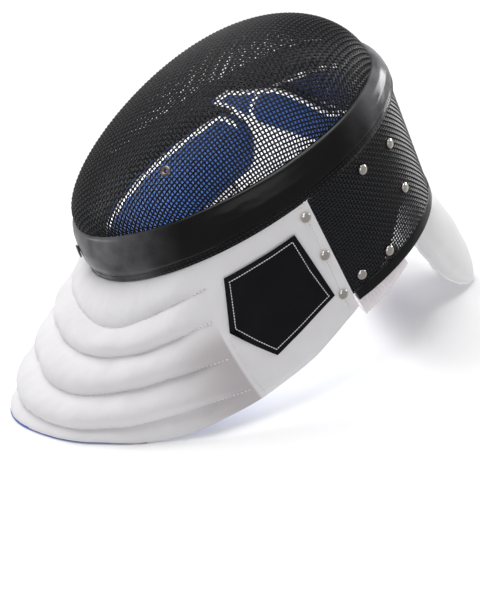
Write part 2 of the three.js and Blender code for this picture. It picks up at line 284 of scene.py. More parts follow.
def addNode(tree, kind, inputs=(), **values):
    node = tree.nodes.new(kind)
    for key, value in values.items():
        setattr(node, key, value)
    feed(tree, node, inputs)
    return node


# Math node from sockets and plain numbers
def calc(tree, operation, *values):
    return addNode(tree, "ShaderNodeMath", enumerate(values), operation=operation).outputs[0]


def ramp(tree, source, limits, ends=(0, 1), interpolation="SMOOTHSTEP"):
    inputs = zip(("Value", "From Min", "From Max", "To Min", "To Max"), (source, *limits, *ends))
    return addNode(tree, "ShaderNodeMapRange", inputs, interpolation_type=interpolation).outputs["Result"]


# A coordinate socket, and its x, y and z
def splitPlace(tree, kind, label):
    place = addNode(tree, kind).outputs[label]
    return place, addNode(tree, "ShaderNodeSeparateXYZ", {0: place}).outputs


# Lays a second colour over what the shader's base colour already shows
def overlay(tree, share, colour):
    base = tree.nodes["Principled BSDF"].inputs["Base Color"]
    inputs = {0: share, 6: base.links[0].from_socket, 7: (*colour, 1)}
    mix = addNode(tree, "ShaderNodeMix", inputs, data_type="RGBA")
    tree.links.new(mix.outputs[2], base)


def newGroup(name, inputs, outputs):
    group = bpy.data.node_groups.new(name, "ShaderNodeTree")
    for label, default in inputs.items():
        socket = group.interface.new_socket(name=label, in_out="INPUT", socket_type="NodeSocketFloat")
        socket.default_value = default
    for label in outputs:
        group.interface.new_socket(name=label, in_out="OUTPUT", socket_type="NodeSocketFloat")
    return group, addNode(group, "NodeGroupInput"), addNode(group, "NodeGroupOutput")


# Fine grain: two noises, one broad for tint and one fine for height
def grainGroup():
    group, given, out = newGroup("surfaceGrain", {"Broad Scale": 30, "Fine Scale": 900}, ("Broad", "Fine"))
    place = addNode(group, "ShaderNodeTexCoord").outputs["Object"]
    for label, detail in (("Broad", 4), ("Fine", 3)):
        inputs = {"Vector": place, "Scale": given.outputs[f"{label} Scale"]}
        inputs.update(Detail=detail, Roughness=0.6)
        noise = addNode(group, "ShaderNodeTexNoise", inputs)
        group.links.new(noise.outputs["Fac"], out.inputs[label])
    return group


# Weave: threads crossing in two directions
def weaveGroup():
    group, given, out = newGroup("threadWeave", {"Threads": 400}, ("Height",))
    place = addNode(group, "ShaderNodeTexCoord").outputs["Object"]
    inputs = {"Vector": place, "Scale": given.outputs["Threads"], "Distortion": 0.6, "Detail": 1.0}
    waves = []
    for axis in ("DIAGONAL", "Z"):
        wave = addNode(group, "ShaderNodeTexWave", inputs, bands_direction=axis, wave_profile="SIN")
        waves.append(wave.outputs["Fac"])
    group.links.new(calc(group, "MULTIPLY", *waves), out.inputs["Height"])
    return group


surfaceGrain = grainGroup()
threadWeave = weaveGroup()


# A material whose colour runs between two tints, with grain in its roughness and height
grain = dict(broad=30, bumpDepth=0.0002, weaveShare=0.4)


def newMaterial(name, dark, light, roughness, metallic=0.0, bump=0.15, fine=900, weave=0, specular=0.5):
    material = bpy.data.materials.new(name)
    material.use_nodes = True
    tree = material.node_tree
    scales = {"Broad Scale": grain["broad"], "Fine Scale": fine}
    noise = addNode(tree, "ShaderNodeGroup", scales, node_tree=surfaceGrain).outputs
    tints = {0: noise["Broad"], 6: (*dark, 1), 7: (*light, 1)}
    tint = addNode(tree, "ShaderNodeMix", tints, data_type="RGBA")
    rough = ramp(tree, noise["Broad"], (0, 1), roughness, "LINEAR")
    height = noise["Fine"]
    if weave:
        threads = addNode(tree, "ShaderNodeGroup", {"Threads": weave}, node_tree=threadWeave)
        height = calc(tree, "MULTIPLY_ADD", height, grain["weaveShare"], threads.outputs["Height"])
    heights = {"Strength": bump, "Distance": grain["bumpDepth"], "Height": height}
    relief = addNode(tree, "ShaderNodeBump", heights)
    look = {"Metallic": metallic, "Specular IOR Level": specular, "Base Color": tint.outputs[2]}
    look.update(Roughness=rough, Normal=relief.outputs["Normal"])
    feed(tree, tree.nodes["Principled BSDF"], look)
    return material


# Painted highlight on the rubber: grey laid over its colour, in patches towards the trim's two ends along the
# row
trimPaintedHighlight = dict(middle=0.017, ends=(0.06, 0.125), patchiness=(0.2, 0.8), scale=40, tint=(0.2, 0.2, 0.216))


def addPaintedHighlight(material):
    tree = material.node_tree
    place, split = splitPlace(tree, "ShaderNodeTexCoord", "Object")
    away = calc(tree, "ABSOLUTE", calc(tree, "SUBTRACT", split["Y"], trimPaintedHighlight["middle"]))
    spots = {"Vector": place, "Scale": trimPaintedHighlight["scale"], "Detail": 5}
    noise = addNode(tree, "ShaderNodeTexNoise", spots)
    patchiness = ramp(tree, noise.outputs["Fac"], trimPaintedHighlight["patchiness"], interpolation="LINEAR")
    overlay(tree, calc(tree, "MULTIPLY", ramp(tree, away, trimPaintedHighlight["ends"]), patchiness), trimPaintedHighlight["tint"])


# Painted shade on the cloth where the padding runs out, up to the bib's slanting seam; shares of the piece's
# own grid
clothPaintedShade = dict(rise=(0.36, 0.56), cut=(0.57, 0.578), slant=0.15, top=(0.3, 0.46))
clothPaintedShade.update(tint=(0.5, 0.465, 0.48))


def addPaintedShade(material):
    tree = material.node_tree
    _, split = splitPlace(tree, "ShaderNodeUVMap", "UV")
    side = calc(tree, "ABSOLUTE", calc(tree, "MULTIPLY_ADD", split["X"], 2.0, -1.0))
    lead = calc(tree, "MULTIPLY_ADD", split["Y"], -clothPaintedShade["slant"], side)
    share = ramp(tree, lead, clothPaintedShade["rise"])
    share = calc(tree, "MULTIPLY", share, ramp(tree, lead, clothPaintedShade["cut"], (1, 0)))
    share = calc(tree, "MULTIPLY", share, ramp(tree, split["Y"], clothPaintedShade["top"]))
    overlay(tree, share, clothPaintedShade["tint"])


# Each row: the two tints, the two ends of the roughness, and what differs from the usual
materialRows = dict(
    wireBlack=[(0.004, 0.004, 0.005), (0.01, 0.01, 0.012), (0.25, 0.45), dict(bump=0.1, specular=0.26)],
    sideWire=[(0.006, 0.006, 0.007), (0.014, 0.014, 0.016), (0.25, 0.4), dict(bump=0.1, specular=0.7)],
    trimRubber=[(0.002, 0.002, 0.0025), (0.006, 0.006, 0.0065), (0.16, 0.3), dict(fine=1400, specular=0.28)],
    bindingTape=[(0.004, 0.004, 0.005), (0.01, 0.01, 0.011), (0.14, 0.28), dict(fine=700, specular=0.26)],
    bibCloth=[(0.7, 0.685, 0.7), (0.78, 0.77, 0.785), (0.75, 0.9), dict(bump=0.3, fine=1500, weave=360)],
    liningSatin=[(0.012, 0.07, 0.38), (0.026, 0.12, 0.54), (0.28, 0.42), dict(bump=0.2, fine=1800)],
    padCloth=[(0.008, 0.04, 0.15), (0.016, 0.066, 0.23), (0.5, 0.7), dict(bump=0.4, fine=1600, weave=300)],
    panelNavy=[(0.005, 0.009, 0.034), (0.009, 0.018, 0.07), (0.6, 0.8), dict(bump=0.3, fine=1500)],
    pipingWhite=[(0.75, 0.75, 0.77), (0.86, 0.86, 0.88), (0.6, 0.8), dict(bump=0.3, fine=1500)],
    labelSatin=[(0.003, 0.003, 0.004), (0.01, 0.01, 0.012), (0.4, 0.55), dict(fine=1800, specular=0.12)],
    nickel=[(0.72, 0.67, 0.62), (0.86, 0.82, 0.77), (0.05, 0.14), dict(metallic=1.0, bump=0.05)],
    eyeletMetal=[(0.14, 0.11, 0.1), (0.3, 0.25, 0.22), (0.2, 0.35), dict(metallic=1.0)],
    springSteel=[(0.55, 0.55, 0.56), (0.72, 0.72, 0.74), (0.2, 0.35), dict(metallic=1.0, bump=0.1)],
    strapElastic=[(0.68, 0.63, 0.65), (0.78, 0.74, 0.755), (0.7, 0.85), dict(bump=0.4, fine=1200, weave=300)],
    tongueVinyl=[(0.76, 0.755, 0.765), (0.84, 0.835, 0.845), (0.3, 0.45), dict(bump=0.2)],
    threadWhite=[(0.7, 0.7, 0.72), (0.84, 0.84, 0.86), (0.6, 0.75), dict(bump=0.3)],
    # Grey for thin strands along the quilting lines: painted shade in the creases
    paintedSeamShade=[(0.46, 0.45, 0.46), (0.56, 0.55, 0.56), (0.7, 0.85), dict(bump=0.3)],
    threadBlack=[(0.01, 0.01, 0.011), (0.03, 0.03, 0.032), (0.5, 0.7), dict(bump=0.3)],
)
paints = {name: newMaterial(name, *row[:3], **row[3]) for name, row in materialRows.items()}
# Painted highlight on the trim's two ends
addPaintedHighlight(paints["trimRubber"])
# Painted shade on the bib's cloth by its slanting seam
addPaintedShade(paints["bibCloth"])
print("materials ready")


# Camera fitted to the photograph: azimuth from the face towards the left, elevation and roll in degrees
photo = dict(width=480, height=602, azimuth=64.54, elevation=-1.51, roll=-55.47)
photo.update(distance=1600.0, pixelsPerMm=1.32)
photo["middle"] = (238.32, 169.17)   # pixel where the mask frame's origin shows


def makeCamera():
    az, el, roll = (math.radians(photo[k]) for k in ("azimuth", "elevation", "roll"))
    back = np.array([math.sin(az) * math.cos(el), math.sin(el), math.cos(az) * math.cos(el)])
    right = unit(np.cross((0, 1, 0), back))
    up = np.cross(back, right)
    right, up = (
        math.cos(roll) * right - math.sin(roll) * up,
        math.sin(roll) * right + math.cos(roll) * up,
    )
    focal = photo["pixelsPerMm"] * photo["distance"]
    aside = photo["width"] / 2 - photo["middle"][0]
    below = photo["height"] / 2 - photo["middle"][1]
    forward = rowDirection(unit(-back * focal + right * aside - up * below))
    upward = rowDirection(up)
    sideways = forward.cross(upward).normalized()
    upward = sideways.cross(forward)
    camera = bpy.data.cameras.new("photoCamera")
    camera.sensor_fit = "HORIZONTAL"
    camera.sensor_width = 36.0
    camera.lens = camera.sensor_width * focal / photo["width"]
    camera.clip_end = 50
    eye = bpy.data.objects.new("photoCamera", camera)
    bpy.context.scene.collection.objects.link(eye)
    turned = Matrix((sideways, upward, -forward)).transposed().to_4x4()
    eye.matrix_world = Matrix.Translation(Vector(rowPoint(back * photo["distance"]))) @ turned
    bpy.context.scene.camera = eye


# Pale floor and soft studio light
studio = dict(floorSize=12.0, floorColor=(0.93, 0.93, 0.93), glow=(0.75, 0.3), glowFrom=(-0.9, 0.5))
studio.update(aim=(0, 0, 0.12))
studioLights = [
    dict(name="topBox", place=(-0.2, -0.2, 2.4), size=1.8, tall=1.8, power=43),
    dict(name="chinStrip", place=(-0.6, -1.5, 0.3), size=0.9, tall=0.35, power=3),
    dict(name="crownStrip", place=(-0.55, 1.5, 0.4), size=0.9, tall=0.35, power=10),
    dict(name="fillBox", place=(2.1, -0.5, 1.2), size=1.4, tall=1.4, power=6),
]
insideLamp = dict(place=(0.0, -25.0, 5.0), radius=0.05, power=0.9)   # mask frame; lights the hollow


def addLamp(name, kind, place, power):
    light = bpy.data.lights.new(name, kind)
    light.energy = power
    lamp = bpy.data.objects.new(name, light)
    lamp.location = place
    bpy.context.scene.collection.objects.link(lamp)
    return lamp


def makeStudio():
    bpy.ops.mesh.primitive_plane_add(size=studio["floorSize"])
    floor = bpy.context.object
    floor.name = "floor"
    paint = bpy.data.materials.new("floorPaint")
    paint.use_nodes = True
    look = {"Base Color": (*studio["floorColor"], 1), "Roughness": 0.9}
    feed(paint.node_tree, paint.node_tree.nodes["Principled BSDF"], look)
    floor.data.materials.append(paint)
    floor.visible_glossy = False
    world = bpy.data.worlds.new("studio")
    world.use_nodes = True
    tree = world.node_tree
    _, split = splitPlace(tree, "ShaderNodeTexCoord", "Generated")
    # A brighter wall behind the mask
    glow = ramp(tree, split["X"], studio["glowFrom"], studio["glow"])
    feed(tree, tree.nodes["Background"], {"Color": (1, 1, 1, 1), "Strength": glow})
    bpy.context.scene.world = world
    bpy.context.scene.view_settings.view_transform = "Standard"
    for row in studioLights:
        lamp = addLamp(row["name"], "AREA", row["place"], row["power"])
        lamp.data.shape = "RECTANGLE"
        lamp.data.size = row["size"]
        lamp.data.size_y = row["tall"]
        aim = Vector(studio["aim"]) - Vector(row["place"])
        lamp.rotation_euler = aim.to_track_quat("-Z", "Y").to_euler()
    lamp = addLamp("insideLamp", "POINT", rowPoint(insideLamp["place"]), insideLamp["power"])
    lamp.data.shadow_soft_size = insideLamp["radius"]
    lamp.visible_camera = False
    lamp.visible_glossy = False


makeCamera()
makeStudio()
print("camera and studio ready")


# Front mesh: wires woven over and under, draped from the dome's middle
frontWeave = dict(pitch=3.1, wire=0.7, lift=0.6, tuck=4.0, sides=6, reach=190)


# Finds the dome points that lie at surface distances u and w from the dome's middle
def domeNet(u, w):
    turnSteps = 720
    angles = np.linspace(-math.pi, math.pi, turnSteps + 1)
    rims = shellPoint(angles, -1.0, meshInset)
    plans = np.unwrap(np.arctan2(rims[:, 1], rims[:, 0]))
    radii = np.sin(np.linspace(0, math.pi / 2, 60))
    rows = domePoint(angles[:, None], radii[None, :], meshInset)
    steps = np.linalg.norm(np.diff(rows, axis=1), axis=2)
    runs = np.concatenate([np.zeros((turnSteps + 1, 1)), np.cumsum(steps, axis=1)], axis=1)
    plan = np.arctan2(w, u)
    reach = np.hypot(u, w)
    angle = np.interp(plan, plans, angles)
    nearest = np.rint((angle + math.pi) / (2 * math.pi) * turnSteps).astype(int)
    radius = np.array([np.interp(r, runs[k], radii) for r, k in zip(reach, nearest)])
    spare = reach - runs[nearest, -1]
    points = domePoint(angle, radius, meshInset)
    tucked = shellPoint(angle, -1 + np.clip(spare, 0, 20) / shell["trimWidth"], meshInset)
    points = np.where(spare[:, None] > 0, tucked, points)
    rim = shellPoint(angle, -1.0, meshInset)
    half = np.hypot(rim[:, 0], rim[:, 1])
    low = points[:, 2] - trimWidthAt(points[:, 1])
    rise = np.clip(low, 0, None) / shell["domeRise"] ** 2
    normals = np.stack([points[:, 0] / half**2, points[:, 1] / half**2, rise], -1)
    return points, unit(normals), spare


def weaveLines(grid, normals, keep, lift):
    lines = ([], [])
    for flip, order in enumerate(((0, 1, 2), (1, 0, 2))):
        points, facing = grid.transpose(order), normals.transpose(order)
        inside = keep.transpose(order[:2])
        for i in range(points.shape[0]):
            at = np.nonzero(inside[i])[0]
            if len(at) < 3:
                continue
            at = np.arange(at[0], at[-1] + 1)
            sign = np.where((at + i) % 2 == flip, 1.0, -1.0)[:, None]
            lines[flip].append((points[i, at] + sign * lift * facing[i, at], facing[i, at]))
    return lines


def weavePieces(lines, names, weave, paint, node):
    for name, wires, nodes in zip(names, lines, ([node], [])):
        finishPiece(strandPiece(name, wires, weave["wire"], weave["sides"]), paint, nodes, 60)


def makeFrontMesh():
    half = int(frontWeave["reach"] / frontWeave["pitch"])
    steps = np.arange(-half, half + 1) * frontWeave["pitch"]
    u, w = np.meshgrid(steps, steps, indexing="ij")
    points, normals, spare = domeNet(u.ravel(), w.ravel())
    shape = u.shape + (3,)
    keep = (spare < frontWeave["tuck"]).reshape(u.shape)
    lines = weaveLines(points.reshape(shape), normals.reshape(shape), keep, frontWeave["lift"])
    weavePieces(lines, ("front_wires_up", "front_wires_across"), frontWeave, "wireBlack", "front_mesh")


# Side mesh: wires along the depth and round the head
sideWeave = dict(pitch=2.45, wire=0.6, lift=0.5, lowAngle=-4.0, startZ=8.0, endT=0.925, sides=5, sink=0.7)


def makeSideMesh():
    angles = np.radians(np.linspace(sideWeave["lowAngle"], 180 - sideWeave["lowAngle"], 800))
    run = runAlong(shellPoint(angles, 0.4, meshInset))
    turns = np.interp(np.arange(0, run[-1], sideWeave["pitch"]), run, angles)
    start = -sideWeave["startZ"] / shell["trimWidth"]
    front = np.arange(start, 0, sideWeave["pitch"] / shell["trimWidth"])
    back = np.arange(0, sideWeave["endT"], sideWeave["pitch"] / shell["sideDepth"])
    depth = np.concatenate([front, back])
    grid = shellPoint(turns[:, None], depth[None, :], meshInset + sideWeave["sink"])
    normals = unit(grid * np.array((1, 0.75, 0)))
    lines = weaveLines(grid, normals, np.ones(grid.shape[:2], bool), sideWeave["lift"])
    weavePieces(lines, ("side_wires_along", "side_wires_round"), sideWeave, "sideWire", "side_mesh")


makeFrontMesh()
makeSideMesh()
print("wire meshes woven")


# Trim: a moulded rubber band with a thin stitched flange at its rear
trimBand = dict(columns=260, rows=64, inner=1.7, wave=0.25, seams=(-0.13, -0.05), seamLift=0.55)
trimProfile = [   # place across the band, and how far it stands out
    (-1.0, -0.9), (-0.985, 0.5), (-0.93, 1.7), (-0.8, 2.8), (-0.55, 3.5), (-0.32, 2.7),
    (-0.22, 1.9), (-0.185, 1.0), (-0.17, 0.55), (-0.09, 0.5), (-0.02, 0.3), (0.0, -0.3),
]


def makeTrim():
    inner = -trimBand["inner"]
    across, outset = np.array(trimProfile + [(0.0, inner), (-1.0, inner), trimProfile[0]]).T
    widths = np.hypot(np.diff(across) * shell["trimWidth"], np.diff(outset))
    run = np.concatenate([[0], np.cumsum(widths)]) / widths.sum()

    def shape(u, v):
        angle = u * 2 * math.pi
        t = np.interp(v, run, across)
        out = np.interp(v, run, outset)
        wave = trimBand["wave"] * ripple(angle * 9, t * 5, 4) * (out > 0)
        return shellPoint(angle, t, -(out + wave))

    piece = sectionPiece("trim_band", trimBand["columns"], trimBand["rows"], shape, closedAlong=True)
    finishPiece(piece, "trimRubber", ["trim"], 35)
    angles = np.linspace(0, 2 * math.pi, 900)
    seams = [shellPoint(angles, t, -trimBand["seamLift"]) for t in trimBand["seams"]]
    lines = [(line, unit(line * np.array((1, 0.6, 0)))) for line in seams]
    finishPiece(stitchPiece("trim_stitches", lines, "trim"), "threadBlack")


binding = dict(start=0.912, end=1.004, low=9.0, columns=150, thick=1.75, sink=0.75, wave=0.15)


def makeBinding():
    def shape(u, v):
        angle = np.radians(binding["low"] + u * (180 - 2 * binding["low"]))
        turn = v * 2 * math.pi
        middle = (binding["start"] + binding["end"]) / 2
        half = (binding["end"] - binding["start"]) / 2
        t = middle + half * signedPower(np.sin(turn), 0.4)
        thick = binding["thick"] * signedPower(np.cos(turn), 0.5)
        wave = binding["wave"] * ripple(angle * 14, np.cos(turn), 8)
        return shellPoint(angle, t, meshInset + binding["sink"] - thick + wave)

    piece = sectionPiece("binding_tape", binding["columns"], 20, shape)
    finishPiece(piece, "bindingTape", ["rear_binding"], 50)


makeTrim()
makeBinding()
print("trim and binding moulded")


# Bib: quilted rolls from the trim to the hem, flat under the label and the tab
bib = dict(tabAngle=10.8, inset=0.5, tabWall=1.7, padWall=5.0, hemWall=3.2, bulge=7.0, fadeStart=0.48)
bib.update(seamTop=0.625, seamBottom=0.7, seamFrom=0.46, seamStep=1.8, hemLift=1.9)
bib.update(columns=300, rowsOut=120, rowsIn=24)
hemRows = [   # half hem from the front centre to the tab's rear corner; lift is height off the floor
    (0, -250, 0), (18, -247, 0), (45, -234, 0), (68, -217, 0), (82, -200, 0), (97, -180, 0), (111, -151, 2.5),
    (118, -124, 8), (119, -106, 12), (118, -84, 17), (116, -60, 25),
    (113, -34, 35), (109, -13, 46), (104, 15, 62.5),
]
rollPuffs = (5.0, 7.5, 8.0, 8.5, 3.0)
quiltKnots = (0.0, 0.1, 0.2, 0.28, 0.38, 0.48, 0.58, 0.67, 1.0)   # shares from the front centre
quiltLines = [   # how far down the bib each quilting line runs at those places
    (0.2, 0.23, 0.262, 0.27, 0.23, 0.19, 0.165, 0.15, 0.15),
    (0.4, 0.435, 0.45, 0.445, 0.425, 0.385, 0.362, 0.365, 0.365),
    (0.635, 0.69, 0.7, 0.677, 0.64, 0.605, 0.608, 0.638, 0.638),
    (0.885, 0.905, 0.917, 0.905, 0.878, 0.845, 0.85, 0.89, 0.89),
]


# Smooth curve through rows of values at the given knots
def smoothCurve(knots, values, at):
    knots, values = np.asarray(knots, float), np.asarray(values, float)
    slopes = np.gradient(values, knots, axis=0)
    k = np.clip(np.searchsorted(knots, at) - 1, 0, len(knots) - 2)
    width = (knots[k + 1] - knots[k])[..., None]
    s = (at - knots[k])[..., None] / width
    return (
        (2 * s**3 - 3 * s**2 + 1) * values[k] + (s**3 - 2 * s**2 + s) * width * slopes[k]
        + (3 * s**2 - 2 * s**3) * values[k + 1] + (s**3 - s**2) * width * slopes[k + 1]
    )


def quiltLine(row, a):
    return smoothCurve(quiltKnots, np.array(quiltLines[row])[:, None], np.abs(a))[..., 0]


# Even run of hem points by a smooth curve through the rows
def hemTable():
    rows = np.array([(x, y, floorZ(y) + lift) for x, y, lift in hemRows], float)
    mirrored = np.concatenate([rows[:0:-1] * (-1, 1, 1), rows])
    knots = np.concatenate([[0], np.cumsum(np.sqrt(np.linalg.norm(np.diff(mirrored, axis=0), axis=1)))])
    curve = smoothCurve(knots, mirrored, np.linspace(knots[len(rows) - 1], knots[-1], 600))
    curve[:, 2] = np.maximum(curve[:, 2], floorZ(curve[:, 1]))
    run = runAlong(curve)
    return run / run[-1], curve


hemRun, hemCurve = hemTable()


def bibBase(a, v):
    size = np.abs(a)
    angle = np.radians(-90 + size * (90 + bib["tabAngle"]))
    top = shellPoint(angle, 0.003, bib["inset"])
    base = blend(top, readRows(size, hemRun, hemCurve), v[..., None])
    base[..., 0] += bib["bulge"] * 4 * size * (1 - size) * np.sin(math.pi * v)
    base[..., 0] *= np.where(a < 0, -1, 1)
    return base


def bibNormal(a, v):
    step = 0.004
    along = bibBase(np.clip(a + step, -1, 1), v) - bibBase(np.clip(a - step, -1, 1), v)
    down = bibBase(a, np.clip(v + step, 0, 1)) - bibBase(a, np.clip(v - step, 0, 1))
    return unit(np.cross(down, along))


# The slanting seam where the rolls end
def seamAt(v):
    return blend(bib["seamTop"], bib["seamBottom"], np.clip((v - 0.4) / 0.6, 0, 1))


def rollPuff(a, v):
    size = np.abs(a)
    seam = seamAt(v)
    fade = 1 - smoothStep(size, seam - 0.14, seam - 0.005)
    puff = np.zeros(np.broadcast(a, v).shape)
    edges = [np.zeros(a.shape)] + [quiltLine(k, a) for k in range(len(quiltLines))] + [np.ones(a.shape)]
    for seed, (top, bottom, height) in enumerate(zip(edges, edges[1:], rollPuffs)):
        t = np.clip((v - top) / (bottom - top), 0, 1)
        inside = (v > top) & (v <= bottom)
        crease = ripple(a * 46, t * 2.5, 20 + seed) * 0.6 + ripple(a * 21, t * 1.5, 40 + seed) * 0.8
        swell = height * np.sin(math.pi * t**1.4) ** 0.6
        pinch = 0.45 * ripple(a * 190, t * 2, 50 + seed, 2) * (np.exp(-t * 7) + np.exp((t - 1) * 9))
        pucker = (crease + pinch) * np.sin(math.pi * t) ** 0.5
        puff = np.where(inside, (swell + pucker) * fade, puff)
    return puff


# Slack cloth outside the rolls: long soft folds across the label's side
def bibSlack(a, v):
    size = np.abs(a)
    side = smoothStep(size, 0.5, 0.68) * (1 - smoothStep(size, 0.86, 0.97))
    panel = bib["seamStep"] * smoothStep(size, seamAt(v) - 0.006, seamAt(v) + 0.004)
    panel = panel * smoothStep(v, bib["seamFrom"], 0.62)
    panel = panel * (1 - smoothStep(size, 0.72, 0.9)) * (1 - smoothStep(v, 0.95, 1))
    folds = 0.9 * ripple(a * 13, v * 3.5, 61) + 0.4 * ripple(a * 30, v * 9, 62)
    return panel + side * np.sin(math.pi * v) * folds


def bibOut(a, v):
    return rollPuff(a, v) + bibSlack(a, v)


def bibWall(a, v):
    size = np.abs(a)
    padding = blend(bib["padWall"], bib["tabWall"], smoothStep(size, bib["fadeStart"], 0.9))
    filled = blend(bib["tabWall"], padding, smoothStep(v, 0, 0.1))
    return blend(filled, np.minimum(filled, bib["hemWall"]), smoothStep(v, 0.75, 1))


def bibPoint(a, v, height):
    outward = bibNormal(a, v)
    turn = math.radians(maskFrame["pitch"])
    floorUp = np.array((0, math.sin(turn), math.cos(turn)))
    level = unit(outward - (outward @ floorUp)[..., None] * floorUp)
    outward = np.where((v > 0.9999)[..., None], level, outward)
    point = bibBase(a, v) + outward * height[..., None]
    point[..., 2] = np.maximum(point[..., 2], floorZ(point[..., 1]))
    return point


def makeBib():
    rowsOut, rowsIn = bib["rowsOut"], bib["rowsIn"]
    turnAt = rowsOut / (rowsOut + rowsIn)

    def shape(u, v):
        a = u * 2 - 1
        outer = v <= turnAt + 1e-9
        along = np.where(outer, v / turnAt, 1 - (v - turnAt) / (1 - turnAt))
        along = np.clip(along, 0, 1)
        height = np.where(outer, bibOut(a, along), -bibWall(a, along))
        point = bibPoint(a, along, height)
        lift = bib["hemLift"] * (1 - smoothStep(np.abs(a), 0.3, 0.42))
        point[..., 2] = np.maximum(point[..., 2], floorZ(point[..., 1]) + lift)
        return point

    piece = sectionPiece("bib_quilt", bib["columns"], rowsOut + rowsIn, shape)
    finishPiece(piece, "bibCloth", ["bib_cover"], 60)

    # Stitches along each quilting line, and just under them a grey strand as painted shade in the crease
    lines, shadeLines = [], []
    for row, values in enumerate(quiltLines):
        reach = seamAt(np.array(values[-1])) - 0.012
        a = np.linspace(-reach, reach, 500)
        v = quiltLine(row, a)
        facing = bibNormal(a, v)
        lines.append((bibPoint(a, v, np.full(a.shape, 0.5)), facing))
        shadeLines.append((bibPoint(a, v, np.full(a.shape, 0.05)), facing))
    for sign in (-1, 1):   # seam at the tab's rear edge, and the slanting seam where the rolls end
        for edge, low, high in ((0.975, 0.02, 0.98), (None, 0.5, 0.97)):
            v = np.linspace(low, high, 200)
            side = sign * (seamAt(v) + 0.012 if edge is None else np.full(v.shape, edge))
            lines.append((bibPoint(side, v, bibOut(side, v) + 0.3), bibNormal(side, v)))
    finishPiece(stitchPiece("bib_stitches", lines, "bib"), "threadWhite")
    finishPiece(strandPiece("bib_seam_shade", shadeLines, 0.42, 6), "paintedSeamShade")


lining = dict(reach=0.76, start=0.1, end=0.93, gap=0.7, wall=1.2, columns=160, rows=46)
lining.update(flat=(0.26, 0.155), area=0.039)
hemPiping = dict(reach=0.42, inset=0.9, drop=0.8, rise=1.4, radius=1.3)


def makeLining():
    def shape(u, v):
        a = (u * 2 - 1) * lining["reach"]
        outer, share = foldAcross(v)
        along = blend(lining["start"], lining["end"], share)
        quilt = 0.9 * np.abs(np.sin(math.pi * along * 6)) ** 0.6 + 0.6 * ripple(a * 24, along * 14, 71)
        thick = np.where(outer, 0.0, lining["wall"] + np.clip(quilt, 0, 2) * np.sin(math.pi * share) ** 0.5)
        return bibPoint(a, along, -bibWall(a, along) - lining["gap"] - thick)

    piece = sectionPiece("bib_satin", lining["columns"], lining["rows"] * 2, shape)
    finishPiece(piece, "liningSatin", ["bib_lining"], 60)
    a = np.linspace(-hemPiping["reach"], hemPiping["reach"], 400)
    v = np.full(a.shape, 1.0)
    line = bibPoint(a, v, np.full(a.shape, -hemPiping["inset"]))
    line[:, 2] = np.maximum(line[:, 2] - hemPiping["drop"], floorZ(line[:, 1]) + hemPiping["rise"])
    edge = strandPiece("hem_piping", [(line, bibNormal(a, v))], hemPiping["radius"], 8)
    finishPiece(edge, "liningSatin")


makeBib()
makeLining()
print("bib quilted and lined")


# Finds where the bib's side passes a given y and z
def onBib(y, z, sign):
    a = np.full(y.shape, 0.85)
    v = np.full(y.shape, 0.5)
    step = 0.004
    for _ in range(14):
        here = bibBase(a, v)
        da = (bibBase(a + step, v) - here) / step
        dv = (bibBase(a, v + step) - here) / step
        ey, ez = y - here[..., 1], z - here[..., 2]
        det = da[..., 1] * dv[..., 2] - da[..., 2] * dv[..., 1]
        a = np.clip(a + (ey * dv[..., 2] - ez * dv[..., 1]) / det, 0.3, 0.99)
        v = np.clip(v + (ez * da[..., 1] - ey * da[..., 2]) / det, 0.01, 0.99)
    return a * sign, v


# Label: a black satin patch with a stitched border
label = dict(rearY=4.0, frontY=-55.0, pointY=-74.0, topZ=-16.0, bottomZ=-84.0, cornerRise=8.0)
label.update(wall=1.0, border=4.0, flat=(0.07, 0.08), area=0.0046)


def labelPlace(side, across, sign):
    front = blend(label["pointY"], label["frontY"], np.abs(side))
    y = blend(label["rearY"], front, across)
    bottom = label["bottomZ"] + label["cornerRise"] * (1 - across)
    z = blend(label["topZ"], bottom, (side + 1) / 2)
    return onBib(y, z, sign)


def makeLabel(name, sign):
    def shape(u, v):
        outer, share = foldAcross(v)
        a, along = labelPlace(share * 2 - 1, u, sign)
        lift = np.where(outer, label["wall"] + 0.35, 0.25)
        return bibPoint(a, along, bibOut(a, along) + lift)

    piece = sectionPiece(f"label_patch_{name}", 28, 56, shape)
    finishPiece(piece, "labelSatin", [f"label_{name}"], 50)
    inset = label["border"] / (label["rearY"] - label["frontY"])
    rim = 1 - 2 * label["border"] / (label["topZ"] - label["bottomZ"])
    far = 1 - inset
    corners = [(-rim, inset), (-rim, far), (0, far), (rim, far), (rim, inset), (-rim, inset)]
    a, v = labelPlace(*walkCorners(corners), sign)
    line = bibPoint(a, v, bibOut(a, v) + label["wall"] + 0.5)
    border = stitchPiece(f"label_border_{name}", [(line, bibNormal(a, v))], "label")
    finishPiece(border, "threadWhite")


twoSides = (("left", 1), ("right", -1))
for sideName, sideSign in twoSides:
    makeLabel(sideName, sideSign)
print("labels sewn on")


# Rivets and eyelets: modelled once, then copied onto each node's place and axis
rivet = dict(radius=4.0, rise=2.5, skirt=0.5)


def nodePlace(node):
    corners = np.array([vertex.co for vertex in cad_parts[node].data.vertices])
    corners = np.unique(np.round(corners, 7), axis=0)
    middle = (corners.min(0) + corners.max(0)) / 2
    axis = np.linalg.svd(corners - corners.mean(0))[2][2]
    centre = rowPoint((0.0, 0.0, -20.0))
    if np.dot(axis, middle - centre) < 0:
        axis = -axis
    depth = (corners - middle) @ axis
    return Vector(middle + axis * depth.min()), Vector(axis)


